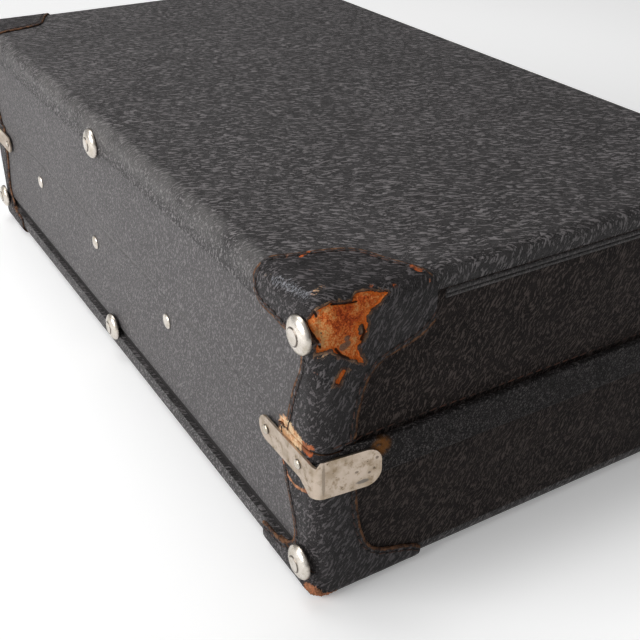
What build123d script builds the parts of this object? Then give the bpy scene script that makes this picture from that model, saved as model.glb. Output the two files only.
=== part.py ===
from build123d import *
import math
import os

# Leather suitcase lying on its large face. +X along the length, -Y the front with handle and latches,
# +Y the hinge side with the domed feet. Millimetres, resting face at z = 0.

# Case body, measured over the wall leather
case_length = 566.0
case_width = 314.0
case_depth = 178.0
parting_height = 96.0
parting_gap = 0.6
corner_radius = 9.0
edge_radius = 8.5

# Layers of the walls, from outside to inside
leather_thickness = 1.6
board_thickness = 4.0
lining_thickness = 0.7
seam_drop = 10.0

# Bands of the big panels turned onto the hinge side, and the open channel above the base's
lid_band_height = 21.0
base_band_height = 17.0
band_proud = 1.8
band_end_margin = 1.0
channel_height = 7.0

# Double welt under the lid's rolled edge
welt_radius = 1.2
welt_drop = 14.2

# Inner tongue
tongue_thickness = 2.5
tongue_clearance = 0.4
tongue_rise = 9.0
tongue_depth = 44.0
tongue_back_margin = 16.0

# Leather strip round the parting line
strip_proud = 4.6
strip_low = 75.5
strip_high = 98.0
strip_lip_gap = 2.0
strip_edge_radius = 1.7
strip_start = 7.0
strip_taper_length = 34.0
strip_start_proud = 1.2

# Corner patches
patch_thickness = 1.6
patch_end_lobe = 69.0

# Rivets of the hinge leather
hinge_rivet_first = 181.4
hinge_rivet_pitch = 127.5
hinge_rivet_count = 3
hinge_rivet_drop = 17.6
hinge_rivet_head = 5.0
hinge_rivet_rise = 1.8

# Corner brackets
bracket_thickness = 1.2
bracket_gap = 0.1
bracket_fold_radius = 5.0
bracket_narrow_reach = 54.0
bracket_narrow_low = 76.8
bracket_narrow_high = 91.5
bracket_wide_reach = 33.2
bracket_wide_low = 71.6
bracket_wide_high = 93.9
bracket_tip_radius = 8.5
bracket_rivet_places = (13.5, 46.3)
bracket_rivet_head = 3.0
bracket_rivet_rise = 0.9

# Domed feet
foot_radius = 9.8
foot_rise = 5.2
foot_button_radius = 5.6
foot_button_rise = 0.4
lid_foot_inset = 8.0
lid_foot_drop = 17.0
base_foot_inset = 10.5
base_foot_drop = 21.5
shank_radius = 2.0
shank_clearance = 0.15
clinch_radius = 3.2
clinch_rise = 0.8

# Handle
handle_span = 164.0
handle_height = 47.0
handle_axis_out = 9.8
handle_pin_radius = 2.0
running_clearance = 0.05
handle_eye_radius = 4.5
handle_eye_width = 10.0
handle_drop = 35.0
handle_grip_width = 18.0
handle_grip_thickness = 13.0
handle_bend_radius = 15.0
handle_tab_thickness = 5.0
handle_tab_length = 17.0
handle_side_clearance = 0.4
ear_thickness = 1.6
ear_radius = 4.4
handle_plate_width = 34.0
handle_plate_height = 26.0
handle_plate_thickness = 1.2
handle_rivet_spread = 13.0

# Latches
latch_inset = 107.0
latch_strip_gap = 23.0
lock_width = 30.0
lock_low = 61.0
lock_high = 93.0
lock_rise = 5.1
lock_sheet = 0.9
lock_corner_radius = 3.0
lock_ear = 7.0
notch_width = 6.0
notch_low = 77.5
hasp_axis_height = 108.0
hasp_axis_out = 4.0
hasp_knuckle_radius = 2.5
hasp_pin_radius = 1.2
hasp_sheet = 1.1
hasp_top_width = 22.0
hasp_low_width = 15.0
hasp_low = 70.0
hasp_lip_radius = 1.0
hasp_rib_width = 7.0
hasp_rib_rise = 0.7
hasp_knuckle_width = 10.0
knuckle_clearance = 0.3
staple_thickness = 2.4
staple_low = 78.5
staple_high = 85.5
staple_root = 0.7
eye_height = 3.6
eye_depth = 2.0
bolt_sheet = 1.2
bolt_out = 2.2
bolt_height = 2.0
bolt_level = 82.0
bolt_rest_gap = 1.0
bolt_travel = 6.0
button_level = 64.5
button_width = 7.0
button_height = 5.0
button_rise = 2.6
button_stem = 2.6
hasp_plate_low = 102.0
hasp_plate_high = 121.0
hasp_plate_width = 26.0
hasp_plate_thickness = 1.2
small_rivet_head = 2.4
small_rivet_rise = 0.9
small_shank_radius = 1.2

half_length = case_length / 2
half_width = case_width / 2
latch_place = half_length - latch_inset
lid_rim = parting_height + parting_gap / 2
base_rim = parting_height - parting_gap / 2
wall_inside = leather_thickness + board_thickness
room_inside = wall_inside + lining_thickness
lid_seam = case_depth - seam_drop
base_lift = patch_thickness
base_band_edge = base_lift + base_band_height
patch_out = patch_thickness + band_proud
foot_tip = patch_out + foot_rise + foot_button_rise
handle_tip = handle_axis_out + handle_grip_width / 2
frame_shift = (handle_tip - foot_tip) / 2
bracket_inner_out = patch_thickness + bracket_gap
bracket_outer_out = bracket_inner_out + bracket_thickness

os.makedirs("parts", exist_ok=True)
nodes = {}


def block(x_range, y_range, z_range):
    size = (x_range[1] - x_range[0], y_range[1] - y_range[0], z_range[1] - z_range[0])
    centre = (sum(x_range) / 2, sum(y_range) / 2, sum(z_range) / 2)
    return Pos(*centre) * Box(*size)


def wall_ring(inset, z_range, back_shift=0.0):
    """Upright prism over the case outline, drawn in by inset, its back wall moved out by back_shift."""
    radius = max(corner_radius - inset, 1.0)
    outline = RectangleRounded(case_length - 2 * inset, case_width - 2 * inset + back_shift, radius)
    return extrude(Pos(0, back_shift / 2, z_range[0]) * outline, z_range[1] - z_range[0])


def lid_form(inset, low=lid_rim, back_shift=0.0):
    """Solid lid body whose top edges are rolled over."""
    body = wall_ring(inset, (low, case_depth - inset), back_shift)
    top = body.faces().sort_by(Axis.Z)[-1]
    return fillet(top.edges(), max(edge_radius - inset, 0.6))


def base_form(inset, high=base_rim, back_shift=0.0):
    """Solid base body whose bottom edges are rolled under."""
    body = wall_ring(inset, (base_lift + inset, high), back_shift)
    bottom = body.faces().sort_by(Axis.Z)[0]
    return fillet(bottom.edges(), max(edge_radius - inset, 0.6))


def half_form(is_lid, inset, back_shift=0.0, overrun=0.0):
    if is_lid:
        return lid_form(inset, lid_rim - overrun, back_shift)
    return base_form(inset, base_rim + overrun, back_shift)


def from_panel(is_lid, drop):
    """Height of a level that lies drop away from the big panel of one half."""
    return case_depth - drop if is_lid else base_lift + drop


def span(a, b):
    return (min(a, b), max(a, b))


def shell_between(is_lid, outer_inset, inner_inset):
    return half_form(is_lid, outer_inset) - half_form(is_lid, inner_inset, overrun=1.0)


def head_profile(radius, rise, flat_radius, flat_rise):
    """Half section of a domed head: low rim, dome arc, ring groove and flat raised centre."""
    rim = rise * 0.18
    groove = flat_radius + 0.35
    dome_at_groove = rim + (rise - rim) * math.sqrt(1 - (groove / radius) ** 2)
    mid = (radius + groove) / 2
    dome_mid = rim + (rise - rim) * math.sqrt(1 - (mid / radius) ** 2)
    top = rise + flat_rise
    lines = [
        Line((0, 0), (radius, 0)),
        Line((radius, 0), (radius, rim)),
        ThreePointArc((radius, rim), (mid, dome_mid), (groove, dome_at_groove)),
        Line((groove, dome_at_groove), (flat_radius, dome_at_groove)),
        Line((flat_radius, dome_at_groove), (flat_radius - 0.4, top)),
        Line((flat_radius - 0.4, top), (0, top)),
        Line((0, top), (0, 0)),
    ]
    return make_face(Curve() + lines)


def riveted_foot(grip):
    """Domed foot with its shank through the wall, clinched flat inside. Head points along +Z."""
    head = revolve(Plane.XZ * head_profile(foot_radius, foot_rise, foot_button_radius, foot_button_rise))
    shank = Pos(0, 0, -grip / 2) * Cylinder(shank_radius, grip)
    clinch = Pos(0, 0, -grip - clinch_rise / 2) * Cylinder(clinch_radius, clinch_rise)
    return head + shank + clinch


def rivet(head_radius, rise, grip, shank):
    """Low domed rivet clinched flat on the inside. Head points along +Z."""
    ball = (head_radius ** 2 + rise ** 2) / (2 * rise)
    head = Pos(0, 0, rise - ball) * Sphere(ball)
    head = head & (Pos(0, 0, rise / 2) * Box(3 * head_radius, 3 * head_radius, rise))
    body = Pos(0, 0, -grip / 2) * Cylinder(shank, grip)
    clinch = Pos(0, 0, -grip - clinch_rise / 2) * Cylinder(shank + 1.4, clinch_rise)
    return head + body + clinch


def on_back(x, z, out=0.0):
    """Frame on the hinge side whose +Z points out of the case."""
    return Plane((x, half_width + out, z), x_dir=(1, 0, 0), z_dir=(0, 1, 0))


def on_front(x, z, out=0.0):
    return Plane((x, -half_width - out, z), x_dir=(1, 0, 0), z_dir=(0, -1, 0))


def drill(frame, radius, reach=30.0):
    return frame * Cylinder(radius + shank_clearance, 2 * reach)


def foot_hole(x, z):
    """Shank hole through the wall with room for the clinched end inside."""
    seat = Pos(0, 0, -room_inside - 3) * Cylinder(clinch_radius + shank_clearance, 6)
    return on_back(x, z) * (Cylinder(shank_radius + shank_clearance, 60) + seat)


def feet_of(is_lid):
    """Places of the three feet of one half, with the proud height that each is seated at."""
    level = from_panel(is_lid, lid_foot_drop if is_lid else base_foot_drop)
    corner = half_length - (lid_foot_inset if is_lid else base_foot_inset)
    return [(-corner, level, patch_out), (0.0, level, band_proud), (corner, level, patch_out)]


def hinge_rivet_xs():
    return [hinge_rivet_first - half_length + n * hinge_rivet_pitch for n in range(hinge_rivet_count)]


def bracket_rivet_frames(side):
    level = (bracket_narrow_low + bracket_narrow_high) / 2
    return [on_back(side * (half_length - x), level, bracket_outer_out) for x in bracket_rivet_places]


def front_rivets(is_lid):
    """Places and head seats of the small rivets on the front of one half."""
    found = []
    for side in (-1, 1):
        if is_lid:
            level = hasp_plate_high - 4.5
            for across in (-8.5, 8.5):
                found.append((side * latch_place + across, level, hasp_plate_thickness))
        else:
            for across in (-1, 1):
                place = side * latch_place + across * (lock_width / 2 + lock_ear / 2)
                found.append((place, (lock_low + lock_high) / 2, lock_sheet))
                place = side * handle_span / 2 + across * handle_rivet_spread
                found.append((place, handle_height, handle_plate_thickness))
    return found


def holes_of(is_lid):
    """Every shank hole through the walls of one half."""
    cut = [foot_hole(x, z) for x, z, seat in feet_of(is_lid)]
    cut += [drill(on_front(x, z), small_shank_radius) for x, z, seat in front_rivets(is_lid)]
    if not is_lid:
        level = parting_height - hinge_rivet_drop
        cut += [drill(on_back(x, level), shank_radius) for x in hinge_rivet_xs()]
        for side in (-1, 1):
            cut += [drill(f, small_shank_radius) for f in bracket_rivet_frames(side)]
    return cut


def panel_zone(is_lid):
    """Space on the panel's side of the seam."""
    edge = from_panel(is_lid, seam_drop)
    far = from_panel(is_lid, -10)
    return block((-half_length - 5, half_length + 5), (-half_width - 5, half_width + 9), span(edge, far))


def band_zone(is_lid, overlap=0.0):
    """Space of the panel's turned edges, as far as the band's free edge."""
    edge = from_panel(is_lid, (lid_band_height if is_lid else base_band_height) + overlap)
    reach = half_length - band_end_margin
    return block((-reach, reach), (half_width - 3 * corner_radius, half_width + 9), span(edge, from_panel(is_lid, -10)))


def build_panel_leather(is_lid):
    """Big outer panel: flat sheet, rolled edge all round and the band turned onto the hinge side."""
    outer = half_form(is_lid, 0.0, back_shift=band_proud)
    tray = (outer & panel_zone(is_lid)) - half_form(is_lid, leather_thickness)
    under = half_form(is_lid, 0.0) if is_lid else half_form(is_lid, leather_thickness)
    band = (outer & (band_zone(is_lid) - panel_zone(is_lid))) - under
    if not is_lid:
        band -= block((-half_length - 5, half_length + 5), (0, half_width - corner_radius), (0, base_rim))
    panel = tray + band
    for cut in holes_of(is_lid):
        panel -= cut
    return panel


def hinge_zone():
    """Flat of the hinge side, where one piece of leather runs from lid to base."""
    reach = half_length - corner_radius
    low = base_band_edge + channel_height
    return block((-reach, reach), (half_width - leather_thickness, half_width), (low, lid_seam))


def channel_zone():
    """Open channel on the hinge side between the base's band and the hinge leather, and the band's own seat."""
    reach = half_length - corner_radius
    far = half_length + 5
    seat = block((-far, far), (half_width - corner_radius, half_width + 5), (0, base_band_edge))
    return seat + block((-reach, reach), (half_width - leather_thickness, half_width + 5),
                        (0, base_band_edge + channel_height))


def build_side_leather(is_lid):
    skin = shell_between(is_lid, 0.0, leather_thickness) - panel_zone(is_lid) - hinge_zone()
    if not is_lid:
        skin -= channel_zone()
    for cut in holes_of(is_lid):
        skin -= cut
    return skin


def build_hinge_leather():
    sheet = hinge_zone()
    for is_lid in (False, True):
        for cut in holes_of(is_lid):
            sheet -= cut
    return sheet


def build_board(is_lid):
    shell = shell_between(is_lid, leather_thickness, wall_inside)
    for cut in holes_of(is_lid):
        shell -= cut
    return shell


def build_lining(is_lid):
    """Thin cloth lining, kept a little below the rim."""
    outer = half_form(is_lid, wall_inside)
    skin = outer - half_form(is_lid, room_inside, overrun=1.0)
    for cut in holes_of(is_lid):
        skin -= cut
    return skin


def build_tongue():
    """Upright lip on three sides that centres the lid."""
    outside = room_inside + tongue_clearance
    levels = (base_rim - tongue_depth, base_rim + tongue_rise)
    ring = wall_ring(outside, levels) - wall_ring(outside + tongue_thickness, (levels[0] - 1, levels[1] + 1))
    back = half_width - tongue_back_margin
    ring -= block((-half_length, half_length), (back, half_width), (levels[0] - 1, levels[1] + 1))
    for x, z, seat in front_rivets(False):
        ring -= on_front(x, z) * Cylinder(small_shank_radius + 1.9, 60)
    return ring


def build_strips():
    """Proud leather strip on the base, standing off the lid's edge, in three runs between the latches."""
    outer = wall_ring(-strip_proud, (strip_low, strip_high))
    rims = outer.faces().sort_by(Axis.Z)
    outer = fillet(rims[0].edges() + rims[-1].edges(), strip_edge_radius)
    ring = outer - wall_ring(0.0, (strip_low - 1, base_rim))
    ring -= wall_ring(-strip_lip_gap, (base_rim - 0.5, strip_high + 1))
    tall = (strip_low - 2, strip_high + 2)
    far = half_length + 20
    ring -= block((-far, far), (half_width - strip_start, half_width + 20), tall)
    for side in (-1, 1):
        start = (half_width - strip_start, half_length + strip_start_proud)
        end = (half_width - strip_taper_length, half_length + strip_proud)
        slope = (end[1] - start[1]) / (start[0] - end[0])
        beyond = start[1] - 10 * slope
        wedge = Polyline(
            (side * beyond, start[0] + 10), (side * end[1], end[0]), (side * far, end[0]),
            (side * far, start[0] + 10), close=True,
        )
        ring -= extrude(Pos(0, 0, tall[0]) * make_face(wedge), tall[1] - tall[0])
    for side in (-1, 1):
        gap = (side * latch_place - latch_strip_gap, side * latch_place + latch_strip_gap)
        ring -= block(gap, (-half_width - 20, -half_width + 20), tall)
    runs = ring.solids().sort_by(Axis.X)
    return {"rim_strip_left": runs[0], "rim_strip_front": runs[1], "rim_strip_right": runs[2]}


def build_welts():
    """Double welt under the lid's rolled edge, on the two ends and the front, between the patches."""
    level = case_depth - welt_drop
    rounds = Circle(welt_radius) + Pos(0, 2 * welt_radius * 0.96) * Circle(welt_radius)
    lobe = patch_end_lobe + 0.6
    reach = half_width - lobe
    found = {}
    for side, name in ((-1, "lid_welt_left"), (1, "lid_welt_right")):
        frame = Plane((side * half_length, -reach, level), x_dir=(-1, 0, 0), z_dir=(0, 1, 0))
        bar = extrude(frame * rounds, 2 * reach)
        found[name] = bar - half_form(True, 0.0, overrun=1.0)
    reach = half_length - lobe
    frame = Plane((-reach, -half_width, level), x_dir=(0, 1, 0), z_dir=(1, 0, 0))
    found["lid_welt_front"] = extrude(frame * rounds, 2 * reach) - half_form(True, 0.0, overrun=1.0)
    return found


def end_outline(is_lid):
    """Patch outline on an end face: distance from the corner edge against drop from the big panel."""
    lobe = patch_end_lobe
    if is_lid:
        return [(20.5, case_depth - lid_rim + 1), (22.3, 66), (24.5, 54.5), (27.5, 46.5), (33.5, 39.5), (45, 35.5),
                (55.5, 32), (63.5, 26.5), (67.2, 21.5), (lobe, 15), (lobe - 1, 4), (lobe - 2, -4)]
    return [(22, base_rim - base_lift + 1), (22.6, 60), (24.4, 45), (27.2, 34), (30.5, 27), (36, 21.2), (45, 17.5),
            (54, 14.8), (61.5, 11.5), (lobe - 2.5, 6.5), (lobe - 2.5, -4)]


def side_outline(is_lid):
    """Patch outline on the hinge side: narrowing from the parting to the foot, then out to the lobe."""
    if is_lid:
        return [(30.5, case_depth - lid_rim + 1), (26, 71), (22.6, 59.5), (17.5, 47), (12.8, 35), (14.5, 27),
                (24, 23), (38, 21.8), (49, 20.5), (54.5, 15.5), (54.5, 8), (50, -4)]
    return [(36, base_rim - base_lift + 1), (32, 68.5), (27.7, 54.5), (23.8, 44), (21.8, 35), (22.5, 27), (28, 20.5),
            (38, base_band_height), (50, base_band_height - 0.8), (58, 13), (61.5, 6.5), (60.5, -4)]


def panel_outline():
    """Patch outline on the big panel: distances along the length against distances along the width."""
    return [(55, -4), (50, 8), (45.5, 25), (37.5, 43), (24, 50), (8, 58), (-6, patch_end_lobe)]


def outline_prism(points, place, close_at, direction, depth):
    """Prism over the area between the corner and a smooth outline."""
    curve = Spline(*[place(*p) for p in points])
    tail = Polyline(place(*points[-1]), *[place(*p) for p in close_at], place(*points[0]))
    return extrude(make_face(Curve() + [curve, tail]), depth, dir=direction)


def patch_form(is_lid, back_shift):
    """Half of the case grown by the patch's thickness; the resting face stays where it is."""
    low = lid_rim if is_lid else 0.0
    high = case_depth + patch_thickness if is_lid else base_rim
    body = wall_ring(-patch_thickness, (low, high), back_shift)
    rim = body.faces().sort_by(Axis.Z)[-1 if is_lid else 0]
    return fillet(rim.edges(), edge_radius + (patch_thickness if is_lid else 0.0))


def build_patch(is_lid, is_back):
    """Corner patch of the left end, moulded over the rolled edges; the right one is its mirror image."""
    face = half_width if is_back else -half_width
    inward = -1 if is_back else 1
    low = end_outline(is_lid)[0][1]

    def on_end(across, drop):
        return (-half_length - 9, face + inward * across, from_panel(is_lid, drop))

    def on_side(along, drop):
        return (-half_length + along, face - inward * 9, from_panel(is_lid, drop))

    def on_panel(along, across):
        return (-half_length + along, face + inward * across, from_panel(is_lid, -9))

    ends = outline_prism(end_outline(is_lid), on_end, [(-9, -4), (-9, low)], (1, 0, 0), 80)
    side_points = side_outline(is_lid) if is_back else end_outline(is_lid)
    sides = outline_prism(side_points, on_side, [(-9, -4), (-9, low)], (0, inward, 0), 90)
    down = -1 if is_lid else 1
    panels = outline_prism(panel_outline(), on_panel, [(-9, patch_end_lobe), (-9, -4)], (0, 0, down), case_depth)

    cover = block((-half_length - 9, -half_length + 90), span(face - inward * 9, face + inward * 90),
                  span(from_panel(is_lid, -9), lid_rim if is_lid else base_rim))
    grown = patch_form(is_lid, 0.0)
    core = half_form(is_lid, 0.0)
    if is_back:
        grown = grown + (patch_form(is_lid, band_proud) & band_zone(is_lid, patch_thickness))
        core = core + (half_form(is_lid, 0.0, back_shift=band_proud) & (band_zone(is_lid) + panel_zone(is_lid)))
    skin = (grown & cover) - core
    patch = skin & ends & sides & panels
    if is_back:
        for x, z, seat in feet_of(is_lid):
            patch -= drill(on_back(x, z), shank_radius)
    if is_back and not is_lid:
        for frame in bracket_rivet_frames(-1):
            patch -= drill(frame, small_shank_radius)
    return max(patch.solids(), key=lambda s: s.volume)


def build_bracket():
    """Left corner bracket, folded from sheet: narrow leg on the hinge side, wide leg over the strip's end."""
    corner_x = -half_length
    corner_y = half_width

    def bent(out, fold):
        tip_out = strip_proud + bracket_gap + (out - bracket_inner_out)
        points = [(corner_x + 90, corner_y + out), (corner_x - out + 0.5, corner_y + out),
                  (corner_x - tip_out, corner_y - bracket_wide_reach),
                  (corner_x - tip_out, corner_y - 60), (corner_x + 90, corner_y - 60)]
        face = make_face(Polyline(*points, close=True))
        corner = face.vertices().filter_by(
            lambda v: abs(v.X - points[1][0]) < 0.01 and abs(v.Y - points[1][1]) < 0.01
        )
        return fillet(corner, fold)

    sheet = bent(bracket_outer_out, bracket_fold_radius + bracket_thickness) - bent(bracket_inner_out, bracket_fold_radius)
    folded = extrude(Pos(0, 0, bracket_wide_low) * sheet, bracket_wide_high - bracket_wide_low)

    tip = bracket_narrow_reach
    half_tip = (bracket_narrow_high - bracket_narrow_low) / 2
    middle = (bracket_narrow_high + bracket_narrow_low) / 2
    narrow = Polyline(
        (corner_x - 12, bracket_wide_low), (corner_x + 3, bracket_wide_low),
        (corner_x + 12, bracket_narrow_low), (corner_x + tip - half_tip, bracket_narrow_low),
    )
    tip_arc = ThreePointArc(
        (corner_x + tip - half_tip, bracket_narrow_low), (corner_x + tip, middle),
        (corner_x + tip - half_tip, bracket_narrow_high),
    )
    upper = Polyline(
        (corner_x + tip - half_tip, bracket_narrow_high), (corner_x + 3, bracket_narrow_high),
        (corner_x - 1, bracket_narrow_high - 1.5), (corner_x - 2.2, bracket_wide_high),
        (corner_x - 12, bracket_wide_high), (corner_x - 12, bracket_wide_low),
    )
    outline = Plane.XZ * make_face(Curve() + [narrow, tip_arc, upper])
    leg_window = extrude(Pos(0, corner_y + 10, 0) * outline, 70)

    wide = RectangleRounded(80, bracket_wide_high - bracket_wide_low, bracket_tip_radius)
    frame = Plane((corner_x - 15, corner_y - bracket_wide_reach + 40, (bracket_wide_low + bracket_wide_high) / 2),
                  x_dir=(0, 1, 0), z_dir=(1, 0, 0))
    wide_window = extrude(frame * wide, 120)
    bracket = folded & leg_window & wide_window
    for f in bracket_rivet_frames(-1):
        bracket -= drill(f, small_shank_radius)
    return bracket


def bracket_rivet(seat_grip):
    return rivet(bracket_rivet_head, bracket_rivet_rise, seat_grip, small_shank_radius)


def build_handle_bracket():
    """Plate with two ears for the handle pin, centred on x = 0."""
    plate = RectangleRounded(handle_plate_width, handle_plate_height, 5)
    plate = extrude(on_front(0, handle_height) * plate, handle_plate_thickness)
    ear_place = handle_eye_width / 2 + handle_side_clearance + ear_thickness / 2
    ears = []
    for side in (-1, 1):
        lug = SlotOverall(2 * (handle_axis_out + ear_radius), 2 * ear_radius)
        lug = lug & Pos(handle_axis_out, 0) * Rectangle(2 * handle_axis_out, 4 * ear_radius)
        frame = Plane((side * ear_place - ear_thickness / 2, -half_width, handle_height),
                      x_dir=(0, -1, 0), z_dir=(1, 0, 0))
        ears.append(extrude(frame * lug, ear_thickness))
    body = plate + ears
    body -= handle_axis() * Cylinder(handle_pin_radius + 0.02, 60)
    for across in (-1, 1):
        body -= drill(on_front(across * handle_rivet_spread, handle_height), small_shank_radius)
    return body


def handle_axis(x=0.0):
    return Plane((x, -half_width - handle_axis_out, handle_height), x_dir=(0, 1, 0), z_dir=(1, 0, 0))


def build_handle_pin():
    reach = handle_eye_width / 2 + handle_side_clearance + ear_thickness
    pin = Cylinder(handle_pin_radius, 2 * reach)
    caps = [Pos(0, 0, side * (reach + 0.5)) * Cylinder(handle_pin_radius + 0.9, 1.0) for side in (-1, 1)]
    return handle_axis() * (pin + caps)


def build_handle_grip():
    """Hanging leather handle: flat eyes round the pins, oval grip bent down between them."""
    y = -half_width - handle_axis_out
    top = handle_height - handle_tab_length
    low = handle_height - handle_drop
    half = handle_span / 2
    path = FilletPolyline((-half, y, top + 2), (-half, y, low), (half, y, low), (half, y, top + 2),
                          radius=handle_bend_radius)
    start = Plane((-half, y, top + 2), x_dir=(0, 1, 0), z_dir=(0, 0, -1))
    body = sweep(start * Ellipse(handle_grip_width / 2, handle_grip_thickness / 2), path=path)
    for side in (-1, 1):
        eye = handle_axis(side * half) * Cylinder(handle_eye_radius, handle_eye_width)
        wide = Plane((side * half, y, top + 2), x_dir=(1, 0, 0), z_dir=(0, 0, 1)) * Ellipse(
            handle_grip_thickness / 2, handle_grip_width / 2)
        tab_low = handle_height - ear_radius - 1.5
        slim = Ellipse(handle_eye_width / 2 - 0.4, handle_tab_thickness / 2 + 1)
        slim = Plane((side * half, y, tab_low), x_dir=(1, 0, 0), z_dir=(0, 0, 1)) * slim
        neck = loft([wide, slim]) + extrude(slim, handle_height - tab_low, dir=(0, 0, 1))
        body = body + neck + eye
        body -= handle_axis(side * half) * Cylinder(handle_pin_radius + running_clearance, 40)
    return body


def front_block(x_range, out_range, z_range):
    return block(x_range, (-half_width - out_range[1], -half_width - out_range[0]), z_range)


def build_lock_case():
    """Pressed lock case open at the back, with riveted ears, a notch for the staple and a button slot."""
    height = lock_high - lock_low
    middle = (lock_high + lock_low) / 2
    box = extrude(on_front(0, middle) * RectangleRounded(lock_width, height, lock_corner_radius), lock_rise)
    front = box.faces().sort_by(Axis.Y)[0]
    box = fillet(front.edges(), 0.8)
    hollow = extrude(
        on_front(0, middle, -1) * RectangleRounded(lock_width - 2 * lock_sheet, height - 2 * lock_sheet,
                                                   lock_corner_radius - lock_sheet),
        1 + lock_rise - lock_sheet,
    )
    ears = extrude(on_front(0, middle) * RectangleRounded(lock_width + 2 * lock_ear, height * 0.62, 4), lock_sheet)
    case = ears + box - hollow
    case -= front_block((-notch_width / 2, notch_width / 2), (-1, 10), (notch_low, lock_high + 5))
    slot_half = button_stem / 2 + 0.3
    slot = (-slot_half, bolt_travel + slot_half)
    case -= front_block(slot, (1, 10), (button_level - slot_half, button_level + slot_half))
    for across in (-1, 1):
        place = across * (lock_width / 2 + lock_ear / 2)
        case -= drill(on_front(place, middle), small_shank_radius)
    return case


def build_lock_bolt():
    """Flat slider with a finger that enters the staple's eye after bolt_travel along +X."""
    out = (bolt_out, bolt_out + bolt_sheet)
    tip = -staple_thickness / 2 - bolt_rest_gap
    foot = front_block((-12.5, 4), out, (button_level - 2, button_level + 2))
    arm = front_block((-12.5, -9.5), out, (button_level - 2, bolt_level + bolt_height / 2))
    finger = front_block((-12.5, tip), out, (bolt_level - bolt_height / 2, bolt_level + bolt_height / 2))
    return foot + arm + finger


def build_lock_button():
    """Ribbed push button with its stem through the slot."""
    stem = front_block((-button_stem / 2, button_stem / 2), (bolt_out + bolt_sheet, lock_rise + 0.3),
                       (button_level - button_stem / 2, button_level + button_stem / 2))
    head = front_block((-button_width / 2, button_width / 2), (lock_rise + 0.3, lock_rise + 0.3 + button_rise),
                       (button_level - button_height / 2, button_level + button_height / 2))
    head = chamfer(head.faces().sort_by(Axis.Y)[0].edges(), 0.6)
    ribs = [front_block((x - 0.3, x + 0.3), (lock_rise + 0.3 + button_rise - 0.5, lock_rise + 4),
                        (button_level - 5, button_level + 5)) for x in (-1.8, 0.0, 1.8)]
    return stem + (head - ribs)


def hasp_axis():
    return Plane((0, -half_width - hasp_axis_out, hasp_axis_height), x_dir=(0, 1, 0), z_dir=(1, 0, 0))


def build_hasp():
    """Tapered hasp hung from its knuckle, with a staple on its back."""
    face_out = hasp_axis_out + hasp_knuckle_radius
    outline = Polyline(
        (-hasp_top_width / 2, hasp_axis_height - 4), (-hasp_low_width / 2, hasp_low + 3),
        (-hasp_low_width / 2 + 3, hasp_low), (hasp_low_width / 2 - 3, hasp_low),
        (hasp_low_width / 2, hasp_low + 3), (hasp_top_width / 2, hasp_axis_height - 4), close=True,
    )
    plate = extrude(Pos(0, -half_width - face_out + hasp_sheet, 0) * (Plane.XZ * make_face(outline)), hasp_sheet)
    link = front_block((-hasp_knuckle_width / 2, hasp_knuckle_width / 2), (face_out - hasp_sheet, face_out),
                       (hasp_axis_height - 5, hasp_axis_height))
    knuckle = hasp_axis() * Cylinder(hasp_knuckle_radius, hasp_knuckle_width)
    rib = extrude(on_front(0, (hasp_axis_height + hasp_low) / 2 + 1, face_out) * SlotOverall(
        22, hasp_rib_width, rotation=90), hasp_rib_rise)
    rib = fillet(rib.faces().sort_by(Axis.Y)[0].edges(), hasp_rib_rise * 0.8)
    lip = Plane((0, -half_width - face_out, hasp_low + hasp_lip_radius * 0.4), x_dir=(0, 1, 0), z_dir=(1, 0, 0))
    lip = lip * Cylinder(hasp_lip_radius, hasp_low_width - 3)
    staple = front_block((-staple_thickness / 2, staple_thickness / 2), (staple_root, face_out - hasp_sheet),
                         (staple_low, staple_high))
    eye_out = bolt_out + bolt_sheet / 2
    eye = front_block((-5, 5), (eye_out - eye_depth / 2, eye_out + eye_depth / 2),
                      (bolt_level - eye_height / 2, bolt_level + eye_height / 2))
    body = plate + link + knuckle + rib + lip + (staple - eye)
    return body - hasp_axis() * Cylinder(hasp_pin_radius + running_clearance, 40)


def build_hasp_plate():
    """Lid plate of the latch with two knuckles either side of the hasp's."""
    height = hasp_plate_high - hasp_plate_low
    middle = (hasp_plate_high + hasp_plate_low) / 2
    plate = extrude(on_front(0, middle) * RectangleRounded(hasp_plate_width, height, 3.5), hasp_plate_thickness)
    start = hasp_knuckle_width / 2 + knuckle_clearance
    end = hasp_top_width / 2
    for side in (-1, 1):
        centre = side * (start + end) / 2
        plate += hasp_axis() * (Pos(0, 0, centre) * Cylinder(hasp_knuckle_radius, end - start))
        plate += front_block(span(side * start, side * end), (0.5, hasp_axis_out),
                             (hasp_axis_height - 1.4, hasp_axis_height + 1.4))
    plate -= hasp_axis() * Cylinder(hasp_pin_radius + 0.02, 60)
    plate -= front_block((-start, start), (hasp_axis_out - hasp_knuckle_radius - 0.3, 10),
                         (hasp_axis_height - 4, hasp_axis_height + 4))
    for across in (-8.5, 8.5):
        plate -= drill(on_front(across, hasp_plate_high - 4.5), small_shank_radius)
    return plate


def build_hasp_pin():
    return hasp_axis() * Cylinder(hasp_pin_radius, hasp_top_width + 1.0)


def grouped(pieces):
    return Compound(list(pieces))


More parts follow.
